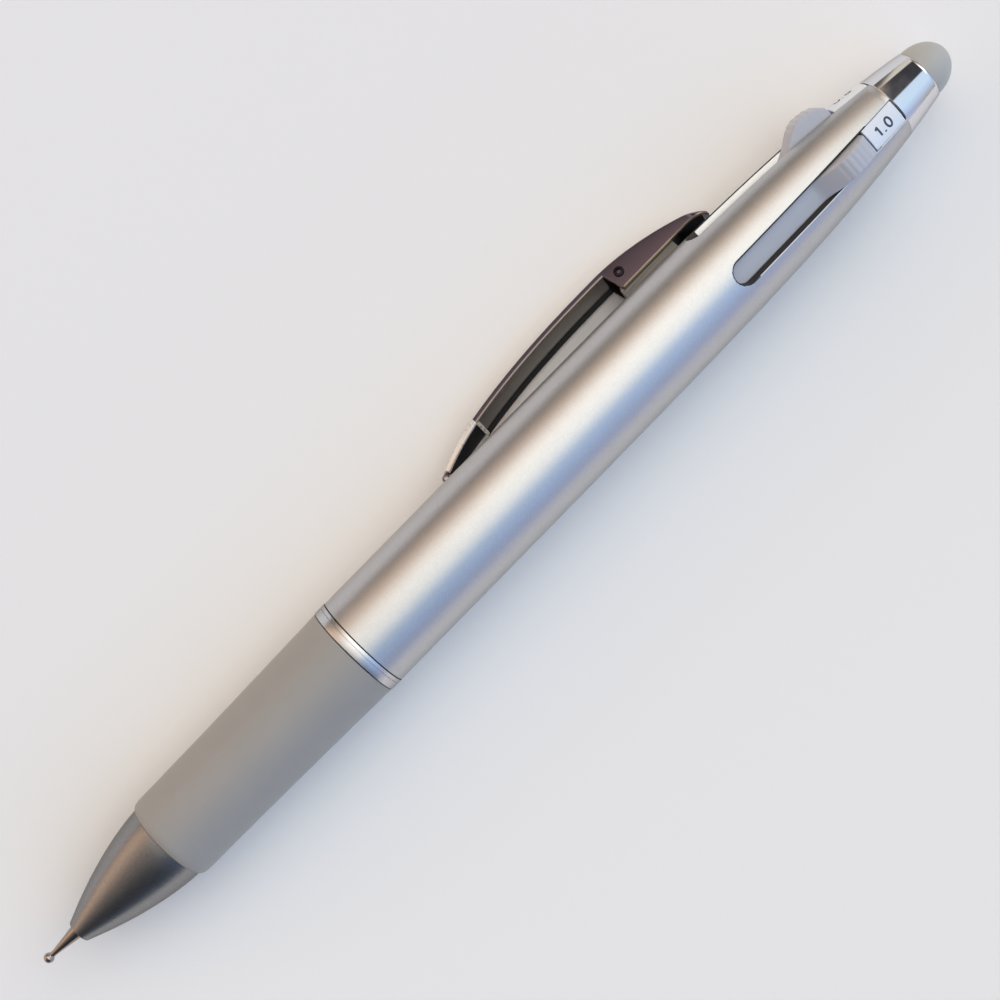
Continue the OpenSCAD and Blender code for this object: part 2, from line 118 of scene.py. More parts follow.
def arc(cx, cy, rx, start, end, steps, ry=None):
    """Points on an arc about (cx, cy). In a turned profile these are (radius, station), so that 0 degrees
    points outwards and 90 towards the dome."""
    turns = [math.radians(start + (end - start) * i / steps) for i in range(steps + 1)]
    return [(cx + rx * math.cos(a), cy + (ry or rx) * math.sin(a)) for a in turns]


# Meshes

def finish_mesh(name, bm, sharp=40):
    """Welds and closes the mesh and shades it smooth, with edges sharper than an angle kept."""
    bmesh.ops.remove_doubles(bm, verts=bm.verts, dist=2e-7)
    bmesh.ops.dissolve_degenerate(bm, edges=bm.edges, dist=1e-8)
    bmesh.ops.recalc_face_normals(bm, faces=bm.faces)
    mesh = bpy.data.meshes.new(name)
    bm.to_mesh(mesh)
    bm.free()
    mesh.shade_smooth()
    mesh.set_sharp_from_angle(angle=math.radians(sharp))
    obj = bpy.data.objects.new(name, mesh)
    bpy.context.scene.collection.objects.link(obj)
    return obj


def bridge(bm, a, b):
    """Faces between two closed rings of equal count."""
    for k in range(len(a)):
        after = (k + 1) % len(a)
        bm.faces.new((a[k], a[after], b[after], b[k]))


def loft(name, rings, sharp=40):
    """A skin over closed rings of equal count, capped at both ends."""
    bm = bmesh.new()
    grid = [[bm.verts.new(p) for p in ring] for ring in rings]
    for a, b in zip(grid, grid[1:]):
        bridge(bm, a, b)
    bm.faces.new(grid[0])
    bm.faces.new(grid[-1][::-1])
    return finish_mesh(name, bm, sharp)


def lathe(name, profile, place=at, segments=128, sharp=40, closed=True):
    """Turns (radius, station) points about an axis, which is the pen's own unless place says otherwise.
    A closed profile joins its last point to its first, and an open one starts and ends on the axis."""
    bm = bmesh.new()
    angles = [2 * math.pi * k / segments for k in range(segments)]
    rings = [[bm.verts.new(place(s, r * math.sin(a), r * math.cos(a))) for a in angles] for r, s in profile]
    for a, b in zip(rings, rings[1:]):
        bridge(bm, a, b)
    if closed:
        bridge(bm, rings[-1], rings[0])
    return finish_mesh(name, bm, sharp)


# Materials

BROAD = 4.0                  # width of the blotches in colour
PATCH = 1.2                  # width of the patches in roughness
ALONG = (0.08, 1, 1)         # draws the noise out into streaks along the pen


def add(tree, kind, inputs):
    """A node with its inputs: sockets are linked, and values are set."""
    node = tree.nodes.new("ShaderNode" + kind)
    if kind == "Mix":
        node.data_type = "RGBA"
    for key, value in inputs.items():
        if isinstance(value, bpy.types.NodeSocket):
            tree.links.new(value, node.inputs[key])
        else:
            node.inputs[key].default_value = value
    return node


def material(name, color, rough, bump, grain, metal=0.0, vary=0.05, rough_vary=0.06, flake=0.0, sheen=0.0,
             subsurface=0.0, streak=(1, 1, 1), edge=1.0):
    """A Principled material whose colour, roughness and height are varied by noise of a real size. The size
    of the grain and the height of the bump are in mm, flake is the depth of a metallic paint's specks, and
    edge dims the reflection at a shallow angle."""
    mat = bpy.data.materials.new(name)
    mat.use_nodes = True
    tree = mat.node_tree
    shader = tree.nodes["Principled BSDF"]
    shader.inputs["Metallic"].default_value = metal
    shader.inputs["IOR"].default_value = 1.5
    shader.inputs["Specular Tint"].default_value = (edge, edge * 0.985, edge * 0.97, 1)
    shader.inputs["Sheen Weight"].default_value = sheen
    shader.inputs["Subsurface Weight"].default_value = subsurface
    shader.inputs["Subsurface Radius"].default_value = (0.0008, 0.0009, 0.0012)
    place = add(tree, "TexCoord", {}).outputs["Object"]
    drawn_out = add(tree, "Mapping", {"Vector": place, "Scale": streak}).outputs["Vector"]

    def noise(size, detail):
        node = add(tree, "TexNoise", {"Vector": drawn_out, "Scale": 1 / (size * MM), "Detail": detail})
        return node.outputs["Fac"]

    low = (*(c * (1 - vary) for c in color), 1)
    high = (*(min(1.0, c * (1 + vary)) for c in color), 1)
    base = add(tree, "Mix", {0: noise(BROAD, 4.0), 6: low, 7: high}).outputs[2]
    if flake:
        cells = add(tree, "TexVoronoi", {"Vector": place, "Scale": 1 / (grain * MM)})
        grey = add(tree, "RGBToBW", {0: cells.outputs["Color"]})
        span = add(tree, "MapRange", {"Value": grey.outputs[0], "To Min": 1 - flake, "To Max": 1.0})
        specks = add(tree, "Mix", {0: 1.0, 6: base, 7: span.outputs["Result"]})
        specks.blend_type = "MULTIPLY"
        base = specks.outputs[2]
    tree.links.new(base, shader.inputs["Base Color"])
    patches = add(tree, "MapRange", {"Value": noise(PATCH, 5.0), "To Min": max(0.02, rough - rough_vary),
                                     "To Max": min(1.0, rough + rough_vary)})
    tree.links.new(patches.outputs["Result"], shader.inputs["Roughness"])
    height = add(tree, "Bump", {"Height": noise(grain, 2.0), "Strength": 1.0, "Distance": bump * MM})
    tree.links.new(height.outputs["Normal"], shader.inputs["Normal"])
    return mat


LOOKS = {
    "silver_paint": dict(color=(0.62, 0.615, 0.615), rough=0.35, metal=0.94, bump=0.0007, grain=0.14,
                         vary=0.02, rough_vary=0.03, flake=0.09, edge=0.62),
    # Painted shade: the nose's silver paint has a much darker base than the barrel's, standing for the dark
    # surroundings it mirrors.
    "nose_paint_shaded": dict(color=(0.35, 0.345, 0.345), rough=0.29, metal=0.98, bump=0.0016, grain=0.12,
                       vary=0.03, rough_vary=0.04, flake=0.20, edge=0.55),
    "collar_chrome": dict(color=(0.66, 0.655, 0.66), rough=0.27, metal=1.0, bump=0.0006, grain=0.2,
                          vary=0.03, edge=0.5),
    # Painted shade: near-black for the slots' walls and rims and for the seams beside the collar, standing
    # for the shadow in them.
    "painted_shade": dict(color=(0.022, 0.020, 0.020), rough=0.5, bump=0.001, grain=0.2, vary=0.1),
    "grip_rubber": dict(color=(0.355, 0.345, 0.332), rough=0.50, bump=0.002, grain=0.12,
                        vary=0.04, rough_vary=0.05, sheen=0.04),
    # Painted shade: the core is dark blue-grey so that what shows of it in the slots reads as shadow.
    "core_plastic": dict(color=(0.13, 0.14, 0.17), rough=0.45, bump=0.001, grain=0.3, vary=0.06),
    "slider_plastic": dict(color=(0.50, 0.52, 0.58), rough=0.36, bump=0.0008, grain=0.25,
                           vary=0.03, subsurface=0.2),
    # Painted light: the white plate is tinted pale blue, standing for the blue light on it.
    "plate_plastic": dict(color=(0.82, 0.88, 0.96), rough=0.35, bump=0.0005, grain=0.2, vary=0.02),
    "ink": dict(color=(0.035, 0.055, 0.11), rough=0.5, bump=0.0003, grain=0.08, vary=0.3),
    "cap_chrome": dict(color=(0.80, 0.80, 0.82), rough=0.10, metal=1.0, bump=0.0006, grain=0.7,
                       vary=0.03, rough_vary=0.05, edge=0.6),
    "clip_chrome": dict(color=(0.66, 0.64, 0.64), rough=0.13, metal=1.0, bump=0.0004, grain=0.3,
                        vary=0.04, rough_vary=0.05, edge=0.7),
    # Painted shade: a darker chrome for the channel's inner web between the rib and the ears, standing for
    # the shade under the clip.
    "clip_painted_shade": dict(color=(0.34, 0.335, 0.32), rough=0.24, metal=1.0, bump=0.0006, grain=0.25,
                        vary=0.16, rough_vary=0.08, streak=ALONG, edge=0.5),
    # Painted reflection: a brownish, duller chrome for the lower edges of the lips and ears, standing for the
    # warm tones they mirror.
    "clip_lip": dict(color=(0.42, 0.33, 0.25), rough=0.30, metal=0.9, bump=0.0006, grain=0.25,
                     vary=0.2, rough_vary=0.08, streak=ALONG, edge=0.4),
    # Painted reflection: a dark purple chrome for the clip's outer sides behind the rib and for the roll's
    # sides, standing for the dark surroundings they mirror.
    "clip_flank_painted_reflection": dict(color=(0.20, 0.178, 0.25), rough=0.17, metal=1.0, bump=0.0004, grain=0.3,
                       vary=0.10, rough_vary=0.05, streak=ALONG, edge=0.35),
    # Painted shade: near-black for the inside of the channel outside its web and along its walls, and for the
    # far lip's lower edge, where only shadow shows.
    "clip_painted_deep_shade": dict(color=(0.035, 0.035, 0.04), rough=0.3, metal=0.6, bump=0.0004, grain=0.3,
                      vary=0.2, streak=ALONG, edge=0.3),
    # Painted highlight: a pale, partly diffuse finish that shines from every side, for the cross rib, the
    # clip's flanks and lips ahead of the rib and the roll's dimples.
    "clip_painted_highlight": dict(color=(0.86, 0.83, 0.80), rough=0.28, metal=0.35, bump=0.0004, grain=0.3,
                        vary=0.03, edge=0.8),
    "bracket_steel": dict(color=(0.24, 0.26, 0.27), rough=0.30, metal=0.9, bump=0.03, grain=0.3,
                          vary=0.25, rough_vary=0.1, streak=ALONG, edge=0.6),
    "leaf_steel": dict(color=(0.06, 0.06, 0.07), rough=0.3, metal=0.8, bump=0.0004, grain=0.2, vary=0.1),
    "pin_steel": dict(color=(0.035, 0.03, 0.045), rough=0.3, metal=1.0, bump=0.0004, grain=0.1, edge=0.35),
    "spring_steel": dict(color=(0.60, 0.60, 0.61), rough=0.25, metal=1.0, bump=0.0002, grain=0.1),
    "dome_rubber": dict(color=(0.47, 0.475, 0.455), rough=0.5, bump=0.001, grain=0.15,
                        vary=0.03, subsurface=0.15),
    "refill_plastic": dict(color=(0.10, 0.10, 0.12), rough=0.3, bump=0.0004, grain=0.3),
    "tip_steel": dict(color=(0.40, 0.345, 0.31), rough=0.14, metal=1.0, bump=0.0003, grain=0.08,
                      vary=0.05, streak=ALONG, edge=0.7),
}
MATERIALS = {name: material(name, **look) for name, look in LOOKS.items()}


def dress(obj, look, body, node=None):
    """Gives a piece its material and its body, and hides the CAD node that it stands for."""
    obj.data.materials.append(MATERIALS[look])
    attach(obj, body)
    if node:
        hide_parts(node)
    return obj


def paint(obj, looks, choose, az=0.0):
    """Adds the looks after the first to a piece and gives each face the one that choose names for the
    station, sideways place and height of its middle."""
    for look in looks[1:]:
        obj.data.materials.append(MATERIALS[look])
    a = math.radians(az)
    for face in obj.data.polygons:
        mid = face.center / MM
        lateral = math.cos(a) * mid.y + math.sin(a) * mid.z
        height = -math.sin(a) * mid.y + math.cos(a) * mid.z
        face.material_index = looks.index(choose(mid.x + ORIGIN_S, lateral, height))


def keep_cad(node, look):
    """Gives a CAD node that isn't replaced its material."""
    obj = frame["nodes"][node]
    obj.data.materials.clear()
    obj.data.materials.append(MATERIALS[look])


# Turned pieces

def nose_r(s):
    return NOSE_FRONT_R + (NOSE_BACK_R - NOSE_FRONT_R) * (1 - (1 - s / NOSE_L) ** 1.65)


def nose_cone():
    edge, steps = 0.12, 40
    mouth_r, mouth_edge = 1.22, 0.06
    stem_r = TUBE_BORE - 0.03
    back = NOSE_L - 0.06
    profile = arc(mouth_r + mouth_edge, mouth_edge, mouth_edge, 180, 270, 4)
    profile += arc(nose_r(edge) - edge, edge, edge, -90, -12, 5)
    profile += [(nose_r(s), s) for s in (edge + (back - edge) * (i / steps) ** 1.5 for i in range(steps + 1))]
    profile += [(NOSE_BACK_R - 0.05, NOSE_L), (stem_r, NOSE_L), (stem_r, STEM_END), (STEM_BORE, STEM_END),
                (STEM_BORE, 13), (3.3, 8), (1.78, 2.4), (mouth_r + 0.02, 0.14)]
    # The nose's darker paint is painted shade.
    dress(lathe("nose_cone_skin", profile), "nose_paint_shaded", "pen_body", "nose_cone")


def grip_sleeve():
    """Rubber sleeve with a long soft round at its front edge."""
    deep, long, edge = 0.42, 1.1, 0.15
    start, end = NOSE_L + long, GRIP_END - edge
    profile = [(TUBE_R, NOSE_L)] + arc(GRIP_FRONT_R - deep, start, deep, -90, 0, 10, long)
    for s in spread(start, end, 40)[1:] + [end]:
        u = (s - NOSE_L) / (GRIP_END - NOSE_L)
        profile.append((GRIP_FRONT_R + (GRIP_BACK_R - GRIP_FRONT_R) * u ** 1.5, s))
    profile += arc(GRIP_BACK_R - edge, end, edge, 0, 90, 5) + [(TUBE_R, GRIP_END)]
    dress(lathe("grip_sleeve_skin", profile), "grip_rubber", "pen_body", "grip_sleeve")


def front_barrel():
    """Tube under the grip, its collar with a fine groove and its spigot in the barrel."""
    edge, groove, gap = 0.15, 0.05, 0.1
    line = SEAT_START - 0.55
    spigot_r, spigot_end = 5.15, SEAT_START + 8
    stop = STEM_END + 0.03
    profile = [(TUBE_BORE, NOSE_L), (TUBE_R, NOSE_L), (TUBE_R, GRIP_END)]
    profile += arc(COLLAR_R - edge, GRIP_END + edge, edge, -90, 0, 5)
    profile += [(COLLAR_R, line - groove), (COLLAR_R - groove, line), (COLLAR_R, line + groove)]
    profile += arc(COLLAR_R - edge, SEAT_START - edge, edge, 0, 90, 5)
    profile += [(spigot_r, SEAT_START), (spigot_r, spigot_end), (STEM_BORE, spigot_end),
                (STEM_BORE, stop), (TUBE_BORE, stop)]
    skin = dress(lathe("front_barrel_skin", profile), "collar_chrome", "pen_body", "front_barrel")

    # Painted shade: every face outside the collar's band, the seams at both its ends among them, gets the
    # near-black look that stands for the shadow in the joints.
    def look(s, lateral, height):
        return "collar_chrome" if GRIP_END + gap <= s <= SEAT_START - gap else "painted_shade"

    paint(skin, ["collar_chrome", "painted_shade"], look)


def end_cap():
    """Chrome cap with its plug and the bore for the dome's stem."""
    edge, plug_r = 0.1, 3.2
    front, back = BARREL_END + edge, CAP_END - edge
    profile = [(0, BARREL_END - PLUG_L), (plug_r, BARREL_END - PLUG_L), (plug_r, BARREL_END),
               (tail_r(BARREL_END) - edge, BARREL_END)]
    profile += [(tail_r(s), s) for s in spread(front, back, 24) + [back]]
    profile += [(CAP_BACK_R - edge, CAP_END), (DOME_STEM_R, CAP_END), (DOME_STEM_R, CAP_END - DOME_STEM_L),
                (0, CAP_END - DOME_STEM_L)]
    dress(lathe("end_cap_skin", profile, closed=False), "cap_chrome", "pen_body", "end_cap")


def dome_tip():
    skirt, edge = 0.3, 0.06
    profile = [(0, CAP_END - DOME_STEM_L), (DOME_STEM_R, CAP_END - DOME_STEM_L), (DOME_STEM_R, CAP_END),
               (DOME_R - edge, CAP_END), (DOME_R, CAP_END + edge)]
    profile += arc(0, CAP_END + skirt, DOME_R, 0, 90, 32, DOME_L - skirt)
    dress(lathe("dome_tip_skin", profile, closed=False), "dome_rubber", "pen_body", "dome_tip")


# The barrel with its four slots

def stadium(s, lateral):
    """Signed distance from a slot's outline: below zero inside the slot."""
    half = SLOT_W / 2
    centre = SLOT_FRONT + half
    if s >= centre:
        return abs(lateral) - half
    return math.hypot(lateral, s - centre) - half


def slot_half(s):
    """Half the slot's width at a station."""
    half = SLOT_W / 2
    if s <= SLOT_FRONT:
        return 0.0
    if s >= SLOT_FRONT + half:
        return half
    return math.sqrt(half ** 2 - (SLOT_FRONT + half - s) ** 2)


def barrel():
    """Skin and bore in four quarters, each from the middle of one slot to the middle of the next. The slots'
    walls and rims carry painted shade: a near-black look stands for the shadow in the slots."""
    rim, end_edge = 0.16, 0.05
    near = [0, 0.02, 0.05, 0.09, 0.13, rim, 0.3]
    columns = 30
    half = SLOT_W / 2
    straight = SLOT_FRONT + half
    stations = [SEAT_START, SEAT_START + 0.05]
    stations += spread(SEAT_START + 1, SLOT_FRONT - 0.6, 40) + [SLOT_FRONT - 0.6]
    stations += [SLOT_FRONT - d for d in (0.3, rim, 0.12, 0.08, 0.05, 0.02)]
    stations += [SLOT_FRONT + half * (1 - math.cos(math.radians(90 * i / 24))) for i in range(25)]
    stations += spread(straight, BARREL_END - 0.06, 30)[1:] + [BARREL_END - 0.06, BARREL_END]

    def radius(s, lateral):
        d = max(0.0, stadium(s, lateral))
        drop = rim - math.sqrt(rim ** 2 - (rim - d) ** 2) if d < rim else 0.0
        return tail_r(s) - drop - (end_edge if s in (stations[0], stations[-1]) else 0.0)

    bm = bmesh.new()
    outer, inner, edge_of = [], [], {}
    for s in stations:
        r0 = tail_r(s)
        start = math.asin(slot_half(s) / r0)
        sweep = math.pi / 2 - 2 * start
        offs = [d / r0 for d in near]
        turns = offs + spread(offs[-1], sweep - offs[-1], columns)[1:] + [sweep - d for d in reversed(offs)]
        outer.append([])
        inner.append([])
        for az in SLIDER_AZ:
            skin_row, bore_row = [], []
            for a in (start + turn for turn in turns):
                lateral = r0 * math.sin(min(a, math.pi / 2 - a))
                for row, r in ((skin_row, radius(s, lateral)), (bore_row, r0 - WALL)):
                    row.append(bm.verts.new(at(s, -r * math.sin(a), r * math.cos(a), az)))
                edge_of[skin_row[-1]] = stadium(s, lateral)
            outer[-1].append(skin_row)
            inner[-1].append(bore_row)
    n = len(outer[0][0])
    for i, (s, after) in enumerate(zip(stations, stations[1:])):
        for o0, o1, i0, i1 in zip(outer[i], outer[i + 1], inner[i], inner[i + 1]):
            for k in range(n - 1):
                face = bm.faces.new((o0[k], o0[k + 1], o1[k + 1], o1[k]))
                # Painted shade: the barrel's front face at the collar seam, and before the plates a band
                # along each slot's outline, get the near-black look. The band is narrower on one side of each
                # slot.
                reach = 0.05 if k < n / 2 and s > straight else 0.15
                if i == 0 or (s < PLATE_START and sum(edge_of[v] for v in face.verts) / 4 < reach):
                    face.material_index = 1
                bm.faces.new((i0[k], i1[k], i1[k + 1], i0[k + 1]))
            if after > SLOT_FRONT:
                for k in (0, n - 1):
                    wall = bm.faces.new((o0[k], i0[k], i1[k], o1[k]))
                    # Painted shade on one long wall of each slot and on its round front end. The other wall
                    # keeps the silver paint.
                    if k == 0 or s < straight:
                        wall.material_index = 1
    for i in (0, -1):
        for o, b in zip(outer[i], inner[i]):
            for k in range(n - 1):
                bm.faces.new((o[k], o[k + 1], b[k + 1], b[k]))
    skin = dress(finish_mesh("barrel_skin", bm), "silver_paint", "pen_body", "barrel")
    # The second look is the painted shade of the slots and the collar seam.
    skin.data.materials.append(MATERIALS["painted_shade"])


# Sliders with their springs

STRIP_L = 14.7               # the strip that covers the slot in front of the thumb
STRIP_R = 4.28
STRIP_FRONT_R = 4.75
STRIP_T = 0.65
THUMB_END = PLATE_START - 0.35
THUMB_L = 8.2
THUMB_START = THUMB_END - THUMB_L
THUMB_PEAK = THUMB_START + THUMB_L * 0.6
THUMB_PEAK_R = 6.68
THUMB_BACK_R = 5.05
THUMB_W = 2.62
RIB_START = THUMB_END - 4.8
RIB_PITCH = 0.78
RIB_DEPTH = 0.055
CORE_START = BARREL_END - PLUG_L - 54.4
SHOULDER = CORE_START + 26   # front face of the shoulder that the spring presses on
SOCKET = CORE_START - 7      # front face of the refill's socket
REFILL_R = 2.4               # height of a refill's own axis
SPRING_L = 23.0
SPRING_TURNS = 12
WIRE = 0.24
COIL_R = 1.12


def slider_frame(n, height=0.0):
    """The place function for the pieces of one slider, where the photo has it."""
    moved, sunk = SHIFT[n]

    def place(s, lateral, h):
        return at(s - moved, lateral, h + height - sunk, SLIDER_AZ[n])
    return place


def thumb_r(s):
    """Height of the top of strip and thumb."""
    if s < THUMB_START:
        return STRIP_R + (STRIP_FRONT_R - STRIP_R) * (THUMB_START - s) / STRIP_L
    if s < THUMB_PEAK:
        u = (s - THUMB_START) / (THUMB_PEAK - THUMB_START)
        return STRIP_R + (THUMB_PEAK_R - STRIP_R) * u * u * (3 - 2 * u)
    u = (s - THUMB_PEAK) / (THUMB_END - THUMB_PEAK)
    return THUMB_BACK_R + (THUMB_PEAK_R - THUMB_BACK_R) * math.sqrt(max(0.0, 1 - u * u))


def rounded_top(half, low, high, edge):
    """Section (lateral, height): flat sides and bottom, a top with round edges."""
    return ([(-half, low)] + arc(edge - half, high - edge, edge, 180, 90, 5)
            + arc(half - edge, high - edge, edge, 90, 0, 5) + [(half, low)])


def slider(n):
    """One moulding, drawn as strip with thumb, track bar and turned rod with shoulder and socket."""
    node = f"slider_{n + 1}"
    place = slider_frame(n)
    last = THUMB_END - 0.05
    stations = spread(THUMB_START - STRIP_L, THUMB_START, 10) + spread(THUMB_START, RIB_START, 20)
    stations += spread(RIB_START, last, 72) + [last, THUMB_END]
    rings = []
    for s in stations:
        top = thumb_r(s)
        low = (top if s < THUMB_START else STRIP_R) - STRIP_T
        rib = 0.0
        if RIB_START < s < THUMB_END - 0.3:
            rib = RIB_DEPTH * (0.5 - 0.5 * math.cos(2 * math.pi * (s - RIB_START) / RIB_PITCH)) ** 1.5
        ease = 0.05 if s == THUMB_END else 0.0
        edge = min(0.28, 0.35 * (top - low))
        section = rounded_top(THUMB_W / 2 - ease, low, top - rib - ease, edge)
        rings.append([place(s, y, h) for y, h in section])
    dress(loft(f"{node}_thumb", rings), "slider_plastic", node, node)

    half, low = 0.8, 2.5
    tops = ((SHOULDER + 1.5, 3.3), (THUMB_START - STRIP_L + STRIP_T, 4.42), (THUMB_START, 3.95),
            (THUMB_END, 3.95))
    rings = [[place(s, y, h) for y, h in ((-half, low), (half, low), (half, top), (-half, top))]
             for s, top in tops]
    dress(loft(f"{node}_bar", rings), "slider_plastic", node, node)

    bore_r, socket_r, rod_r, shoulder_r = 1.1, 1.35, 0.8, 1.25
    bore_end, socket_end, shoulder_end = SOCKET + 5.6, SOCKET + 6, SHOULDER + 3
    rod = [(bore_r, bore_end), (bore_r, SOCKET), (socket_r, SOCKET), (socket_r, socket_end),
           (rod_r, socket_end), (rod_r, SHOULDER), (shoulder_r, SHOULDER), (shoulder_r, shoulder_end),
           (0, shoulder_end), (0, bore_end)]
    piece = lathe(f"{node}_rod", rod, slider_frame(n, REFILL_R), 32, closed=False)
    dress(piece, "slider_plastic", node, node)


def return_spring(n):
    """Wound spring between the core's disc and the shoulder of its slider. It goes with the slider. The
    spring of the slider that is out is drawn pressed, shorter by the slider's travel, with its front end on
    the disc."""
    moved, sunk = SHIFT[n]
    height = REFILL_R - sunk
    front, back = SHOULDER - SPRING_L, SHOULDER - moved
    low, high = front + WIRE, back - WIRE
    steps = SPRING_TURNS * 24
    path = [Vector((front, COIL_R, 0))]
    for i in range(steps + 1):
        a = 2 * math.pi * SPRING_TURNS * i / steps
        path.append(Vector((low + (high - low) * i / steps, COIL_R * math.cos(a), COIL_R * math.sin(a))))
    path.append(Vector((back, COIL_R, 0)))
    rings = []
    for i, p in enumerate(path):
        ahead = (path[i + 1] - path[i - 1]).normalized() if 0 < i < len(path) - 1 else Vector((1, 0, 0))
        out = Vector((0, p.y, p.z)).normalized()
        side = ahead.cross(out)
        ring = [p + WIRE / 2 * (math.cos(math.radians(d)) * out + math.sin(math.radians(d)) * side)
                for d in range(0, 360, 36)]
        rings.append([at(q.x, q.y, q.z + height, SLIDER_AZ[n]) for q in ring])
    spring = dress(loft(f"return_spring_{n + 1}_wound", rings, sharp=80), "spring_steel",
                   f"slider_{n + 1}", f"return_spring_{n + 1}")
    if n != OUT:
        reach = max(abs(end) for end in JOINTS[f"slider_{n + 1}_slide"]["range_m"])
        at(back, 0, height, SLIDER_AZ[n])
        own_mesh(spring)


# Plates with the size marks

# Each figure as strokes in a box 1 high
FIGURES = {
    "0": [arc(0.31, 0.5, 0.27, 0, 360, 36, 0.44)],
    "1": [[(0.10, 0.76), (0.34, 0.94), (0.34, 0.5), (0.34, 0.06)]],
    "2": [arc(0.31, 0.69, 0.25, 165, -35, 16) + [(0.06, 0.07), (0.58, 0.07)]],
    "5": [[(0.54, 0.93), (0.14, 0.93), (0.10, 0.54)] + arc(0.30, 0.34, 0.25, 130, -145, 20, 0.27)],
    "8": [arc(0.31, 0.72, 0.21, 0, 360, 28, 0.22), arc(0.31, 0.27, 0.26, 0, 360, 28, 0.23)],
    ".": [[(0.08, 0.02), (0.08, 0.16)]],
}
FIGURE_W = 0.62
POINT_W = 0.30


def size_plate(n):
    """Plate that closes the slot's end, as round as the barrel, with its size mark."""
    half, edge, thick, across = SLOT_W / 2 - 0.06, 0.06, 0.8, 14
    stations = [PLATE_START, PLATE_START + edge] + spread(PLATE_START, PLATE_END, 8)[1:]
    stations += [PLATE_END - edge, PLATE_END]
    rings = []
    for s in stations:
        ring = []
        r = tail_r(s)
        for k in range(across + 1):
            y = -half + 2 * half * k / across
            drop = edge if s in (PLATE_START, PLATE_END) or k in (0, across) else 0.0
            ring.append(at(s, y, math.sqrt(r * r - y * y) - drop, SLIDER_AZ[n]))
        r -= thick
        for k in range(across + 1):
            y = half - 2 * half * k / across
            ring.append(at(s, y, math.sqrt(r * r - y * y), SLIDER_AZ[n]))
        rings.append(ring)
    # The plate's pale blue tint is painted light.
    dress(loft(f"size_plate_{n + 1}_skin", rings), "plate_plastic", "pen_body", f"size_plate_{n + 1}")
    number(n, (PLATE_START + PLATE_END) / 2 - 0.12)


def even_path(stroke, step):
    """The points of a stroke with more between them, so that no step is much longer than it should be."""
    path = [stroke[0]]
    for a, b in zip(stroke, stroke[1:]):
        cuts = max(1, round(math.dist(a, b) / step))
        path += [(a[0] + (b[0] - a[0]) * i / cuts, a[1] + (b[1] - a[1]) * i / cuts)
                 for i in range(1, cuts + 1)]
    return path


def number(n, mid):
    """A plain size mark laid on its plate as flat strokes."""
    height, half, gap, lift = 1.3, 0.125, 0.13, 0.006
    widths = [POINT_W if char == "." else FIGURE_W for char in SIZES[n]]
    x = -(sum(widths) + gap * (len(widths) - 1)) / 2
    bm = bmesh.new()
    for char, width in zip(SIZES[n], widths):
        for path in (even_path(stroke, 0.07) for stroke in FIGURES[char]):
            rows = []
            loop = math.dist(path[0], path[-1]) < 1e-6
            for i, point in enumerate(path):
                before = path[i - 1] if i else (path[-2] if loop else point)
                after = path[i + 1] if i + 1 < len(path) else (path[1] if loop else point)
                dx, dy = after[0] - before[0], after[1] - before[1]
                size = math.hypot(dx, dy)
                row = []
                for side in (-1, -0.5, 0, 0.5, 1):
                    s = mid + (x + point[0]) * height - side * half * dy / size
                    y = DIGITS_ASIDE[n] + (point[1] - 0.5) * height + side * half * dx / size
                    row.append(bm.verts.new(at(s, y, math.sqrt(tail_r(s) ** 2 - y * y) + lift, SLIDER_AZ[n])))
                rows.append(row)
            for low, high in zip(rows, rows[1:]):
                for k in range(4):
                    bm.faces.new((low[k], low[k + 1], high[k + 1], high[k]))
        x += width + gap
    dress(finish_mesh(f"size_digits_{n + 1}", bm), "ink", "pen_body")


# Clip

SHEET = 0.45                 # the clip's sheet, folded into a channel with a narrow lip on each side
LIP = 0.32
CLIP_W = 4.5
CLIP_TIP_W = 1.8
CLIP_FRONT = SEAT_END + 0.9
CLIP_BACK = CLIP_FRONT + 42.9
CLIP_PEAK = CLIP_FRONT + 28.25
CLIP_TOP = 10.6              # height at the peak
CLIP_FRONT_TOP = 7.26
CLIP_BACK_TOP = 6.95
NARROW_FRONT = 7.4           # over these lengths the clip narrows to its ends
NARROW_BACK = 2.6
ROLL_END = CLIP_FRONT + 0.75
ROLL_S = CLIP_FRONT + 0.25   # middle of the rolled end
ROLL_H = 6.63
TONGUE_T = 0.22              # the clip's front end, flat above the roll
LIP_START = ROLL_END + 0.3
RIB_S = CLIP_FRONT + 7.1
EAR_START = CLIP_FRONT + 29.3
EAR_FULL = EAR_START + 0.7
EAR_RISE = CLIP_BACK - 0.7   # from here the ears' lower edge rises to the back end
EAR_LOW = 6.85
PIVOT_S = EAR_START + 1.6
PIVOT_R = 8.71149


def clip_top(s):
    if s < CLIP_PEAK:
        u = (CLIP_PEAK - s) / (CLIP_PEAK - CLIP_FRONT)
        return CLIP_TOP - (CLIP_TOP - CLIP_FRONT_TOP) * u ** 2.53
    u = (s - CLIP_PEAK) / (CLIP_BACK - CLIP_PEAK)
    return CLIP_TOP - (CLIP_TOP - CLIP_BACK_TOP) * u ** 1.88


def clip_half(s):
    """Half the clip's width at a station."""
    front = max(0.0, CLIP_FRONT + NARROW_FRONT - s) / NARROW_FRONT
    back = max(0.0, s - CLIP_BACK + NARROW_BACK) / NARROW_BACK
    return (CLIP_W - (CLIP_W - CLIP_TIP_W) * (front ** 2 + back ** 2)) / 2


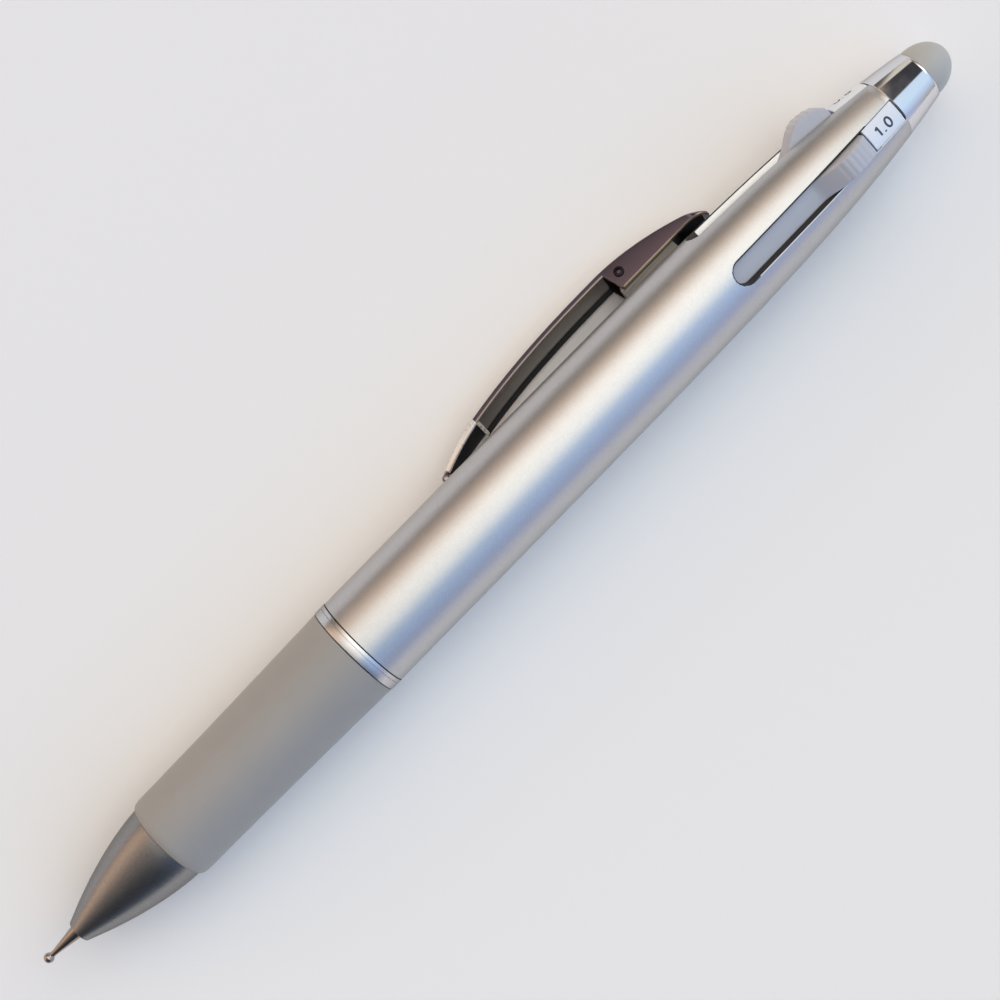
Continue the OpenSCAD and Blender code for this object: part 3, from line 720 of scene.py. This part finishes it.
def clip_low(s):
    """Height of the lower edge of lips and ears."""
    under = clip_top(s) - SHEET
    low = under - LIP
    if s < LIP_START:
        share = min(1.0, (LIP_START - s) / (LIP_START - ROLL_END))
        return low + (SHEET + LIP - TONGUE_T) * share
    if s < EAR_START:
        return low
    if s < EAR_FULL:
        u = (s - EAR_START) / (EAR_FULL - EAR_START)
        return low + (EAR_LOW - low) * math.sin(math.radians(90 * u))
    if s > EAR_RISE:
        return EAR_LOW + (under - EAR_LOW) * (s - EAR_RISE) / (CLIP_BACK - EAR_RISE)
    return min(EAR_LOW, under)


def crosswise(station, height):
    """The place function for a piece that is turned about an axis across the clip."""
    def place(s, lateral, h):
        return at(station + lateral, s, height + h, CLIP_AZ)
    return place


def clip_sheet():
    """Folded sheet: a channel with lips, and ears at its back for the pin."""
    edge, lip = 0.3, 0.12
    stations = spread(CLIP_FRONT, LIP_START, 10) + spread(LIP_START, EAR_START, 60)
    stations += spread(EAR_START, EAR_FULL, 8) + spread(EAR_FULL, CLIP_BACK, 40) + [CLIP_BACK]
    rings = []
    for s in stations:
        top, low, half = clip_top(s), clip_low(s), clip_half(s)
        e = min(edge, (top - low) / 2)
        inner = half - SHEET
        ceil = max(low + 0.01, top - SHEET)
        section = [(-inner, low), (-inner - lip, low), (lip - half, low), (-half, low + lip)]
        section += arc(e - half, top - e, e, 180, 90, 6) + arc(half - e, top - e, e, 90, 0, 6)
        section += [(half, low + lip), (half - lip, low), (inner + lip, low), (inner, low), (inner, ceil),
                    (inner / 2, ceil), (-inner / 2, ceil), (-inner, ceil)]
        rings.append([at(s, y, h, CLIP_AZ) for y, h in section])
    sheet = dress(loft("clip_arm_sheet", rings), "clip_chrome", "clip", "clip_arm")

    # The sheet's looks are painted light. Ahead of the rib its flanks and lips get the painted highlight.
    # Behind it the flanks get the dark painted reflection, the inner web painted shade, the far lip and the
    # rest of the inside deep painted shade, and the other lip edges the brown painted reflection.
    def look(s, y, h):
        half = clip_half(s)
        if abs(y) > half - 0.04:
            return "clip_painted_highlight" if s < RIB_S else "clip_flank_painted_reflection"
        if abs(y) > half - SHEET - 0.01 and h < clip_low(s) + 0.2:
            return "clip_painted_highlight" if s < RIB_S else "clip_painted_deep_shade" if y > 0 and s < EAR_START else "clip_lip"
        if h < clip_top(s) - SHEET + 0.03:
            web = abs(y) < half - SHEET - 0.03 and RIB_S < s < EAR_START
            return "clip_painted_shade" if web else "clip_painted_deep_shade"
        return "clip_chrome"

    paint(sheet, ["clip_chrome", "clip_painted_shade", "clip_lip", "clip_flank_painted_reflection", "clip_painted_deep_shade", "clip_painted_highlight"], look,
          CLIP_AZ)


def clip_roll():
    """Rolled front end of the clip, with a dimple at each side."""
    half, edge, dimple_r = 0.98, 0.1, 0.2
    profile = [(0, 0.2 - half), (dimple_r, 0.2 - half), (0.24, 0.02 - half), (0.3, -half)]
    profile += arc(0.38, edge - half, edge, -90, 0, 6)
    profile += [(r, -s) for r, s in reversed(profile)]
    piece = lathe("clip_rolled_end", profile, crosswise(ROLL_S, ROLL_H), 32, closed=False)
    roll = dress(piece, "clip_chrome", "clip", "clip_arm")

    # Painted highlight in the dimples and dark painted reflection on the roll's sides.
    def look(s, y, h):
        if math.hypot(h - ROLL_H, s - ROLL_S) < dimple_r:
            return "clip_painted_highlight"
        return "clip_flank_painted_reflection" if abs(y) > 0.9 else "clip_chrome"

    paint(roll, ["clip_chrome", "clip_flank_painted_reflection", "clip_painted_highlight"], look, CLIP_AZ)


def clip_cross_rib():
    """Rib across the channel near its front. It stands a little below the lips, and its edges are eased."""
    into, edge = 0.02, 0.1
    half = CLIP_W / 2 - SHEET + into
    back = RIB_S + SHEET
    rings = []
    for s, below in ((RIB_S, -0.03), (RIB_S + edge, 0.05), (back - edge, 0.05), (back, -0.03)):
        high, low = clip_top(s) - SHEET + into, clip_low(s) - below
        section = ((-half, high), (half, high), (half, low), (-half, low))
        rings.append([at(s, y, h, CLIP_AZ) for y, h in section])
    # The rib gets the painted highlight.
    dress(loft("clip_cross_rib", rings), "clip_painted_highlight", "clip", "clip_arm")


def clip_pin():
    """Riveted pin: each head has a round edge and a dimple."""
    shaft_r, head_r, edge = 0.4, 0.57, 0.06
    half = CLIP_W / 2 + 0.05
    end = [(shaft_r, half), (head_r - 0.02, half)] + arc(head_r, half + edge, edge, -90, 90, 6)[1:]
    end += [(0.34, half + 2 * edge), (0.30, half + 0.04), (0.22, half - 0.12), (0, half - 0.14)]
    profile = [(r, -s) for r, s in reversed(end)] + end
    piece = lathe("clip_pin_riveted", profile, crosswise(PIVOT_S, PIVOT_R), 32, closed=False)
    dress(piece, "pin_steel", "pen_body", "clip_pin")


def clip_leaf_spring():
    """Bent leaf on the bracket, whose tip rises to just under the clip's sheet."""
    foot, bend, tip = EAR_START + 4.4, EAR_START + 7.2, EAR_START + 9.6
    bracket_top, thick, half, edge = BARREL_R + 0.87, 0.25, 1.36, 0.04
    rise = clip_top(tip) - SHEET - 0.05 - thick - bracket_top
    rings = []
    for s in spread(foot, tip, 28) + [tip]:
        low = bracket_top + rise * max(0.0, (s - bend) / (tip - bend)) ** 1.2
        high = low + thick
        rings.append([at(s, y, h, CLIP_AZ) for y, h in (
            (-half, low + edge), (-half, high - edge), (edge - half, high), (half - edge, high),
            (half, high - edge), (half, low + edge), (half - edge, low), (edge - half, low))])
    leaf = dress(loft("clip_leaf_spring_bent", rings), "leaf_steel", "pen_body", "clip_leaf_spring")
    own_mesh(leaf)


# Tips

REFILL_HINGE_S = 69.7
SWAY = math.asin(1.75 / 61.84)   # the way to the nose hole by the length in front of the hinge
TIP_FRONT = 7.86
TIP_R = 0.86
NECK_SHARE = 0.55                # neck radius by ball radius


def refill_frame(n):
    """The place function for one refill, which leans about its socket when its tip is out."""
    lean = -SWAY if n == OUT else 0.0
    moved, sunk = SHIFT[n]

    def place(s, lateral, h):
        x = s - REFILL_HINGE_S
        return at(REFILL_HINGE_S - moved + x * math.cos(lean) + h * math.sin(lean), lateral,
                  REFILL_R - sunk - x * math.sin(lean) + h * math.cos(lean), SLIDER_AZ[n])
    return place


def embossing_tip(n):
    """Ball, cone, a fine groove and the plug in the tube."""
    ball = float(SIZES[n]) / 2
    neck_a = math.degrees(math.acos(NECK_SHARE))
    cone_l, cone_steps = 3.6, 20
    cone = TIP_FRONT + ball * (1 + math.sin(math.radians(neck_a))) + 0.3
    profile = [(max(0.0, r), TIP_FRONT + s) for r, s in arc(0, ball, ball, -90, neck_a, 20)]
    for i in range(cone_steps + 1):
        u = i / cone_steps
        profile.append((ball * NECK_SHARE + (TIP_R - ball * NECK_SHARE) * u ** 1.08, cone + cone_l * u))
    groove, plug = cone + cone_l, TIP_FRONT + 15
    profile += [(TIP_R, groove + 0.25), (TIP_R - 0.06, groove + 0.32), (TIP_R - 0.06, groove + 0.42),
                (TIP_R, groove + 0.5), (TIP_R, plug), (0.7, plug), (0.7, plug + 3), (0, plug + 3)]
    piece = lathe(f"embossing_tip_{n + 1}_turned", profile, refill_frame(n), 64, sharp=30, closed=False)
    dress(piece, "tip_steel", f"refill_{n + 1}", f"embossing_tip_{n + 1}")


# Stage, camera and light

FLOOR_Z = -7.3
FLOOR_HALF = 30000           # so wide that no view shows its edge
CAMERA = (68.1 - ORIGIN_S, 0.15, 219)
CAMERA_TURN = -45.573        # the pen lies across the picture from corner to corner
VIEW_HALF = 56.5             # half the width of what the camera sees at the pen

# The studio by direction. Each stop is an angle across the pen (-90 is the side of the second slider and
# 0 straight up) with its brightness in red, green and blue.
BRIGHT = 2.0
BACKDROP = 0.37
OVERHEAD = [(-90, (0.10, 0.09, 0.085)), (-79, (0.11, 0.095, 0.085)), (-70, (0.24, 0.19, 0.15)),
            (-58, (0.62, 0.46, 0.35)), (-48, (0.98, 0.76, 0.60)), (-40, (1.38, 1.18, 1.00)),
            (-30, (1.76, 1.65, 1.50)), (-20, (1.98, 1.94, 1.82)), (12, (1.74, 1.75, 1.68)),
            (20, (1.30, 1.42, 1.52)), (30, (0.66, 0.89, 1.26)), (58, (0.46, 0.67, 1.09)),
            (72, (0.45, 0.49, 0.72)), (90, (0.56, 0.60, 0.80))]
TO_DOME = [(-90, (0.68, 0.62, 0.54)), (-66, (0.80, 0.75, 0.66)), (-62, (0.035, 0.036, 0.045)),
           (-2, (0.03, 0.033, 0.042)), (2, (0.72, 0.86, 1.05)), (40, (0.70, 0.90, 1.10)),
           (66, (0.55, 0.66, 0.86)), (82, (0.47, 0.46, 0.46)), (90, (0.42, 0.40, 0.38))]
TO_NOSE = [(-90, (0.40, 0.30, 0.24)), (-78, (1.10, 0.78, 0.56)), (-62, (1.30, 0.92, 0.68)),
           (-42, (0.72, 0.54, 0.43)), (-20, (0.34, 0.28, 0.25)), (5, (0.17, 0.155, 0.15)),
           (22, (0.075, 0.075, 0.08)), (54, (0.04, 0.045, 0.06)), (74, (0.06, 0.08, 0.12)),
           (90, (0.20, 0.25, 0.33))]


def stage():
    bm = bmesh.new()
    bm.faces.new([bm.verts.new(Vector((x * FLOOR_HALF, y * FLOOR_HALF, FLOOR_Z)) * MM)
                  for x, y in ((-1, -1), (1, -1), (1, 1), (-1, 1))])
    floor = finish_mesh("floor", bm)
    mat = bpy.data.materials.new("floor_paper")
    mat.use_nodes = True
    shader = mat.node_tree.nodes["Principled BSDF"]
    shader.inputs["Base Color"].default_value = (0.95, 0.95, 0.95, 1)
    shader.inputs["Roughness"].default_value = 0.9
    shader.inputs["Specular IOR Level"].default_value = 0.1
    floor.data.materials.append(mat)


def camera():
    data = bpy.data.cameras.new("camera")
    data.sensor_width = 36
    data.angle = 2 * math.atan(VIEW_HALF / CAMERA[2])
    data.clip_start = 0.01
    cam = bpy.data.objects.new("camera", data)
    cam.location = Vector(CAMERA) * MM
    cam.rotation_euler = (0, 0, math.radians(CAMERA_TURN))
    bpy.context.scene.collection.objects.link(cam)
    bpy.context.scene.camera = cam


def lights():
    """A studio of large soft panels around the pen, drawn by direction: a ramp across the pen for rays that
    go straight up, one for rays that lean towards the dome and one for rays that lean towards the nose. The
    camera itself sees a plain backdrop."""
    world = bpy.data.worlds.new("studio")
    bpy.context.scene.world = world
    world.use_nodes = True
    tree = world.node_tree
    direction = add(tree, "SeparateXYZ", {0: add(tree, "TexCoord", {}).outputs["Generated"]}).outputs
    flip = add(tree, "Math", {0: direction["Y"], 1: -1})
    flip.operation = "MULTIPLY"
    turn = add(tree, "Math", {0: flip.outputs[0], 1: direction["Z"]})
    turn.operation = "ARCTAN2"
    share = add(tree, "MapRange", {"Value": turn.outputs[0], "From Min": -math.pi / 2,
                                   "From Max": math.pi / 2})

    def ramp(stops):
        node = add(tree, "ValToRGB", {0: share.outputs["Result"]})
        points = node.color_ramp.elements
        while len(points) < len(stops):
            points.new(0.5)
        for point, (angle, color) in zip(points, stops):
            point.position = (angle + 90) / 180
            point.color = (*(c / BRIGHT for c in color), 1)
        return node.outputs["Color"]

    def lean(low, high):
        node = add(tree, "MapRange", {"Value": direction["X"], "From Min": low, "From Max": high})
        node.interpolation_type = "SMOOTHSTEP"
        return node.outputs["Result"]

    def blend(amount, a, b):
        return add(tree, "Mix", {0: amount, 6: a, 7: b}).outputs[2]

    sky = blend(lean(0.49, 0.505), ramp(OVERHEAD), ramp(TO_DOME))
    sky = blend(lean(0.66, 0.70), sky, ramp(OVERHEAD))
    sky = blend(lean(-0.14, -0.26), sky, ramp(TO_NOSE))
    to_camera = add(tree, "LightPath", {}).outputs["Is Camera Ray"]
    back = tree.nodes["Background"]
    tree.links.new(blend(to_camera, sky, (BACKDROP, BACKDROP, BACKDROP, 1)), back.inputs["Color"])
    back.inputs["Strength"].default_value = BRIGHT
    bpy.context.scene.view_settings.view_transform = "Standard"


nose_cone()
grip_sleeve()
front_barrel()
barrel()
end_cap()
dome_tip()
clip_sheet()
clip_roll()
clip_cross_rib()
clip_pin()
for index in range(4):
    slider(index)
    size_plate(index)
    embossing_tip(index)
    keep_cad(f"refill_tube_{index + 1}", "refill_plastic")
    return_spring(index)
# The core gets the dark look of painted shade.
keep_cad("slider_core", "core_plastic")
keep_cad("clip_bracket", "bracket_steel")
clip_leaf_spring()
stage()
camera()
lights()
